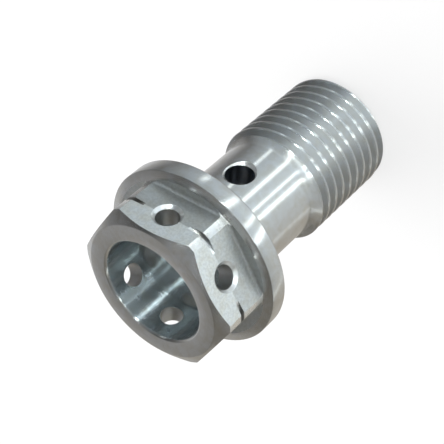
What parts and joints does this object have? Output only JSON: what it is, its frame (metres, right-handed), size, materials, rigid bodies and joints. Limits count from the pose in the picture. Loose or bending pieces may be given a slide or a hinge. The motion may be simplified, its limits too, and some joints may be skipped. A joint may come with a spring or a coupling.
{
  "type": "banjo bolt",
  "caption": "Banjo bolt with a flanged, pocketed hexagon head drilled for lockwire, a plain shank with a cross hole into an oil bore, and a fine thread.",
  "frame": {"origin": "centre of the thread's end face, on which the bolt stands", "axes": "+Z along the bolt's axis from the thread end to the head, +X through a corner of the hexagon"},
  "size_m": [0.0152, 0.0152, 0.0242],
  "materials": {
    "bare_metal": "bare turned and milled metal with fine tool marks"
  },
  "bodies": {
    "root": {"banjo_bolt": "bare_metal"}
  },
  "joints": []
}
